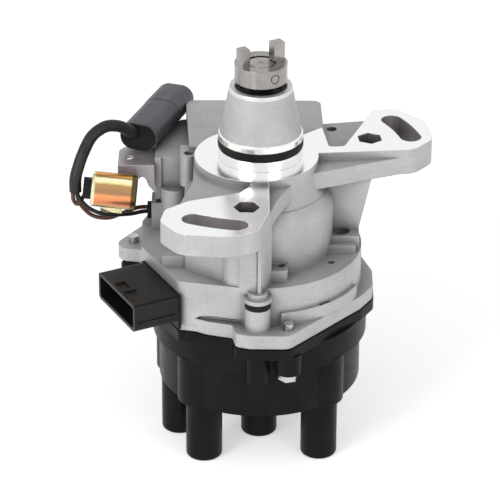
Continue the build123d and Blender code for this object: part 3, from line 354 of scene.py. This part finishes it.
@dataclass(frozen=True)
class CastSkin:
    """Blasted aluminium whose flange faces, spigot and nose rim are machined.

    Args:
        slot_radius: radius of the arc slots' middle line, in metres.
        slot_band: half their width.
        slot_bearings: directions of their middles, in degrees.
        slot_reach: half their sweep, in degrees.
        hexagons: centres of the hexagonal pockets.
        hexagon_reach: radius of the pockets' shade.
        pocket_floor: level where the shade ends.
        spigot_radius: radius inside which the spigot is machined.
        spigot_top: level where the spigot ends.
        rim_level: level above which the nose rim is machined.
        nook_reach: distance over which a nook counts as closed.
        nook_range: openness from full painted shade to none.
        nook_dark: strength of the painted shade.
        metallic: share of metal in the blasted skin.
    """

    slot_radius: float = 0.0743
    slot_band: float = 0.0053
    slot_bearings: tuple[float, ...] = (-106.2, 23.4)
    slot_reach: float = 12.4
    hexagons: tuple[tuple[float, float], ...] = ((-0.0063, -0.0557), (0.0521, 0.018))
    hexagon_reach: float = 0.0064
    pocket_floor: float = -0.0128
    spigot_radius: float = 0.0204
    spigot_top: float = 0.0126
    rim_level: float = 0.0338
    nook_reach: float = 0.014
    nook_range: tuple[float, float] = (0.3, 0.85)
    nook_dark: float = 0.7
    metallic: float = 0.45

    def machined(self, shader: Shader, radius: bpy.types.NodeSocket,
                 z: bpy.types.NodeSocket) -> bpy.types.NodeSocket:
        """Mask of the machined faces.

        Args:
            shader: material under construction.
            radius: distance from the shaft's axis.
            z: height over the flange face.

        Returns:
            The mask from 0 to 1.
        """
        facing_up = shader.math("GREATER_THAN", shader.axes("Normal")[2], 0.98)
        face = shader.math("MULTIPLY", facing_up, shader.math("COMPARE", z, 0.0, 0.0002))
        inside = shader.math("LESS_THAN", radius, self.spigot_radius)
        above = shader.math("GREATER_THAN", z, 0.0001)
        below = shader.math("LESS_THAN", z, self.spigot_top)
        spigot = shader.math("MULTIPLY", shader.math("MULTIPLY", inside, above), below)
        tip = shader.math("MULTIPLY", shader.math("GREATER_THAN", z, self.rim_level), 0.5)
        return shader.math("MAXIMUM", shader.math("MAXIMUM", face, spigot), tip)

    def painted_pocket_shade(self, shader: Shader, radius: bpy.types.NodeSocket,
             axes: tuple[bpy.types.NodeSocket, ...]) -> bpy.types.NodeSocket:
        """Mask of the slots' and hexagonal pockets' insides, where shade is painted.

        Args:
            shader: material under construction.
            radius: distance from the shaft's axis.
            axes: X, Y and Z.

        Returns:
            The mask from 0 to 1.
        """
        x, y, z = axes
        bearing = shader.math("ARCTAN2", y, x)
        ring = shader.math("COMPARE", radius, self.slot_radius, self.slot_band)
        pocket = None
        for angle in self.slot_bearings:
            here = shader.math("COMPARE", bearing, math.radians(angle),
                               math.radians(self.slot_reach))
            here = shader.math("MULTIPLY", here, ring)
            pocket = here if pocket is None else shader.math("MAXIMUM", pocket, here)
        for centre in self.hexagons:
            away = shader.math("SQRT", shader.math(
                "ADD", shader.math("POWER", shader.math("SUBTRACT", x, centre[0]), 2.0),
                shader.math("POWER", shader.math("SUBTRACT", y, centre[1]), 2.0)))
            near = shader.math("LESS_THAN", away, self.hexagon_reach)
            pocket = shader.math("MAXIMUM", pocket, near)
        below_face = shader.math("MULTIPLY", shader.ramp(z, -0.00002, -0.0006),
                                 shader.math("GREATER_THAN", z, self.pocket_floor))
        return shader.math("MULTIPLY", pocket, below_face)

    def colour(self, shader: Shader, machined: bpy.types.NodeSocket,
               painted_pocket_shade: bpy.types.NodeSocket) -> bpy.types.NodeSocket:
        """Mottled skin with specks, painted shade in pockets and nooks, and bright machined faces.

        Args:
            shader: material under construction.
            machined: mask of the machined faces.
            painted_pocket_shade: mask of the pockets.

        Returns:
            The colour.
        """
        blotch = shader.ramp(shader.noise(60.0, 5.0, roughness=0.6), 0.3, 0.7)
        speck = shader.ramp(shader.noise(1500.0, 2.0), 0.35, 0.7)
        skin = shader.mix(blotch, (0.42, 0.408, 0.413), (0.52, 0.507, 0.512))
        skin = shader.mix(shader.math("MULTIPLY", speck, 0.45), skin, (0.3, 0.292, 0.295))
        # painted shade inside the slots and hexagonal pockets
        skin = shader.mix(painted_pocket_shade, skin, (0.26, 0.24, 0.235))
        # painted shade in nooks: ambient occlusion darkens the colour
        nook = shader.node("AmbientOcclusion", samples=8)
        nook.inputs["Distance"].default_value = self.nook_reach
        painted_nook_shade = shader.ramp(nook.outputs["AO"], *self.nook_range, self.nook_dark, 0.0)
        skin = shader.mix(painted_nook_shade, skin, (0.07, 0.062, 0.06))
        return shader.mix(machined, skin, (0.9, 0.9, 0.905))

    def material(self, name: str) -> bpy.types.Material:
        """Material of the casting.

        Args:
            name: material name.

        Returns:
            The node material.
        """
        shader = Shader(name)
        bsdf = shader.bsdf
        axes = shader.axes()
        x, y, z = axes
        radius = shader.math("SQRT", shader.math("ADD", shader.math("MULTIPLY", x, x),
                                                 shader.math("MULTIPLY", y, y)))
        machined = self.machined(shader, radius, z)
        rest = shader.math("SUBTRACT", 1.0, machined)
        colour = self.colour(shader, machined, self.painted_pocket_shade(shader, radius, axes))
        shader.link(colour, bsdf.inputs["Base Color"])
        shader.link(shader.ramp(machined, 0.0, 1.0, self.metallic, 1.0), bsdf.inputs["Metallic"])
        cast_rough = shader.ramp(shader.noise(300.0, 4.0), 0.3, 0.7, 0.46, 0.6)
        machined_rough = shader.ramp(shader.noise(90.0, 3.0), 0.3, 0.7, 0.17, 0.26)
        rough = shader.math("ADD", shader.math("MULTIPLY", cast_rough, rest),
                            shader.math("MULTIPLY", machined_rough, machined))
        shader.link(rough, bsdf.inputs["Roughness"])
        grain = shader.math("MULTIPLY", grain_height(shader, Grain.CAST), rest)
        turned = shader.noise(900.0, 2.0, stretch=(0.06, 1.0, 1.0))
        marks = shader.math("MULTIPLY", shader.math("MULTIPLY", turned, 0.12), machined)
        shader.relief(shader.math("ADD", grain, marks), 0.16, 0.8)
        return shader.material


@dataclass(frozen=True)
class ZincSkin:
    """Yellow zinc plating whose tint runs round the can in bands, with painted highlight and
    reflection bands among them, a painted shade at one end and a painted highlight at the other.

    Args:
        centre: middle of the can, in metres.
        slope: rise of its axis.
        tint_and_highlight_bands: stops from its back over the top to below, with their colours.
        sweep: directions of the first and last stop, in degrees.
        end_shade_range: range along the axis where the dark end begins.
        end_highlight_range: range along the axis where the pale end begins.
        foot_pale: range of reach from the axis where the foot turns pale.
    """

    centre: Colour = (-0.0695, 0.003, -0.021)
    slope: float = 0.105
    # zinc tint with painted highlight and painted reflection bands, by direction round the can
    tint_and_highlight_bands: tuple[tuple[float, Colour], ...] = (
        (0.0, (0.1, 0.05, 0.02)),
        (0.08, (0.5, 0.22, 0.04)),
        (0.22, (0.85, 0.42, 0.1)),
        (0.27, (0.28, 0.17, 0.03)),
        (0.3, (1.0, 0.97, 0.72)),
        (0.38, (1.0, 0.92, 0.46)),
        (0.43, (0.5, 0.3, 0.12)),
        (0.58, (0.4, 0.22, 0.12)),
        (0.64, (0.85, 0.33, 0.12)),
        (0.78, (0.72, 0.24, 0.12)),
        (0.92, (0.5, 0.34, 0.12)),
    )
    sweep: tuple[float, float] = (-30.0, 150.0)
    end_shade_range: tuple[float, float] = (0.0078, 0.0083)
    end_highlight_range: tuple[float, float] = (-0.0088, -0.0096)
    foot_pale: tuple[float, float] = (0.0086, 0.0089)

    def material(self, name: str) -> bpy.types.Material:
        """Material of the can and its band.

        Args:
            name: material name.

        Returns:
            The node material.
        """
        shader = Shader(name)
        bsdf = shader.bsdf
        bsdf.inputs["Metallic"].default_value = 0.75
        x, y, z = shader.axes()
        across = shader.math("SUBTRACT", x, self.centre[0])
        lift = shader.math("ADD", shader.math("SUBTRACT", z, self.centre[2]),
                           shader.math("MULTIPLY", across, self.slope))
        ahead = shader.math("SUBTRACT", self.centre[1], y)
        turn = shader.math("ARCTAN2", ahead, lift)
        ripple = shader.ramp(shader.noise(220.0, 3.0), 0.3, 0.7, -0.03, 0.03)
        place = shader.ramp(shader.math("ADD", turn, ripple), math.radians(self.sweep[0]),
                            math.radians(self.sweep[1]))
        ramp = shader.node("ValToRGB")
        elements = ramp.color_ramp.elements
        for index, (stop, colour) in enumerate(self.tint_and_highlight_bands):
            element = elements[index] if index < 2 else elements.new(stop)
            element.position = stop
            element.color = (*colour, 1.0)
        shader.link(place, ramp.inputs[0])
        along = shader.math("SUBTRACT", across, shader.math("MULTIPLY", lift, self.slope))
        # painted shade at one end of the can and painted highlight at the other
        painted_end_shade = shader.ramp(along, *self.end_shade_range)
        painted_end_highlight = shader.ramp(along, *self.end_highlight_range)
        colour = shader.mix(painted_end_shade, ramp.outputs[0], (0.1, 0.075, 0.035))
        reach = shader.math("SQRT", shader.math("ADD", shader.math("MULTIPLY", ahead, ahead),
                                                shader.math("MULTIPLY", lift, lift)))
        # the pale colour is the painted highlight at one end and the foot's own pale zinc
        pale = shader.math("MAXIMUM", painted_end_highlight, shader.ramp(reach, *self.foot_pale))
        shader.link(shader.mix(pale, colour, (0.85, 0.76, 0.46)), bsdf.inputs["Base Color"])
        rough = shader.ramp(shader.noise(400.0, 3.0), 0.3, 0.7, 0.16, 0.3)
        shader.link(rough, bsdf.inputs["Roughness"])
        shader.relief(shader.noise(260.0, 3.0), 0.04, 0.3)
        return shader.material


class Distributor:
    """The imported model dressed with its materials."""

    def __init__(self, frame: dict) -> None:
        self.nodes: dict[str, bpy.types.Object] = frame["nodes"]
        self.slots = {part["node"]: part["material_slot"] for part in frame["record"]["subparts"]}
        self.materials: dict[str, bpy.types.Material] = {}

    def material(self, slot: str) -> bpy.types.Material:
        """Material of a slot, made on first use.

        Args:
            slot: name of the record's slot.

        Returns:
            The node material.
        """
        if slot not in self.materials:
            if slot == "cast_aluminium":
                self.materials[slot] = CastSkin().material(slot)
            elif slot == "yellow_zinc":
                self.materials[slot] = ZincSkin().material(slot)
            else:
                self.materials[slot] = plain_material(slot, FINISHES[slot])
        return self.materials[slot]

    def dress(self) -> None:
        """Gives every CAD node its material."""
        for name, node in self.nodes.items():
            node.data.materials.clear()
            node.data.materials.append(self.material(self.slots[name]))
            LOG.info("dressed %s", name)


class Studio:
    """White floor and backdrop, soft lamps and the photograph's camera."""

    def build(self) -> None:
        """Makes the whole studio."""
        self.floor()
        self.world()
        self.lamps()
        self.camera()

    def floor(self) -> None:
        """Plain pale floor that shows as white to the camera."""
        size = FLOOR_REACH
        mesh = bpy.data.meshes.new("floor")
        corners = [(-size, -size, FLOOR_LEVEL), (size, -size, FLOOR_LEVEL),
                   (size, size, FLOOR_LEVEL), (-size, size, FLOOR_LEVEL)]
        mesh.from_pydata(corners, [], [(0, 1, 2, 3)])
        floor = bpy.data.objects.new("floor", mesh)
        bpy.context.scene.collection.objects.link(floor)
        shader = Shader("floor")
        shader.bsdf.inputs["Base Color"].default_value = (FLOOR_TONE, FLOOR_TONE, FLOOR_TONE, 1.0)
        shader.bsdf.inputs["Roughness"].default_value = 0.9
        shader.bsdf.inputs["Emission Color"].default_value = (1.0, 1.0, 1.0, 1.0)
        shader.bsdf.inputs["Emission Strength"].default_value = FLOOR_LIFT
        mesh.materials.append(shader.material)

    def world(self) -> None:
        """Soft light, fuller from the front; the camera and reflections see plain white."""
        world = bpy.data.worlds.new("studio")
        bpy.context.scene.world = world
        world.use_nodes = True
        shader = NodeTree(world.node_tree)
        _, y, z = shader.axes("Generated")
        front = shader.ramp(y, *FRONT_RANGE, 0.0, FRONT_LIGHT)
        above = shader.ramp(z, *ABOVE_RANGE, 0.0, ABOVE_DIM)
        light = shader.math("SUBTRACT", shader.math("ADD", front, AROUND_LIGHT), above)
        paths = shader.node("LightPath").outputs
        seen = shader.math("MAXIMUM", paths["Is Camera Ray"], paths["Is Glossy Ray"])
        seen = shader.math("MAXIMUM", seen, paths["Is Transmission Ray"])
        background = world.node_tree.nodes["Background"]
        background.inputs["Color"].default_value = (1.0, 1.0, 1.0, 1.0)
        shader.link(shader.math("MAXIMUM", light, seen), background.inputs["Strength"])

    def lamps(self) -> None:
        """Two large soft lamps in front."""
        for name, place, width, height, power in LAMPS:
            data = bpy.data.lights.new(name, "AREA")
            data.shape = "RECTANGLE"
            data.size = width
            data.size_y = height
            data.energy = power
            lamp = bpy.data.objects.new(name, data)
            bpy.context.scene.collection.objects.link(lamp)
            lamp.location = place
            aim = Vector(LAMP_AIM) - Vector(place)
            lamp.rotation_euler = aim.to_track_quat("-Z", "Y").to_euler()

    def camera(self) -> None:
        """Camera at the photograph's view."""
        data = bpy.data.cameras.new("camera")
        data.lens = CAMERA_LENS
        data.sensor_width = SENSOR_WIDTH
        data.clip_start, data.clip_end = CAMERA_CLIP
        camera = bpy.data.objects.new("camera", data)
        bpy.context.scene.collection.objects.link(camera)
        pitch = Matrix.Rotation(math.radians(90.0 - CAMERA_PITCH), 4, "X")
        roll = Matrix.Rotation(math.radians(CAMERA_ROLL), 4, "Z")
        camera.matrix_world = Matrix.Translation(CAMERA_PLACE) @ pitch @ roll
        bpy.context.scene.camera = camera


def main() -> None:
    """Loads the frame, dresses it and builds the studio."""
    logging.basicConfig(level=logging.WARNING)
    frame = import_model()
    Studio().build()
    Distributor(frame).dress()
    bpy.context.scene.view_settings.view_transform = "Standard"


if __name__ == "__main__":
    main()
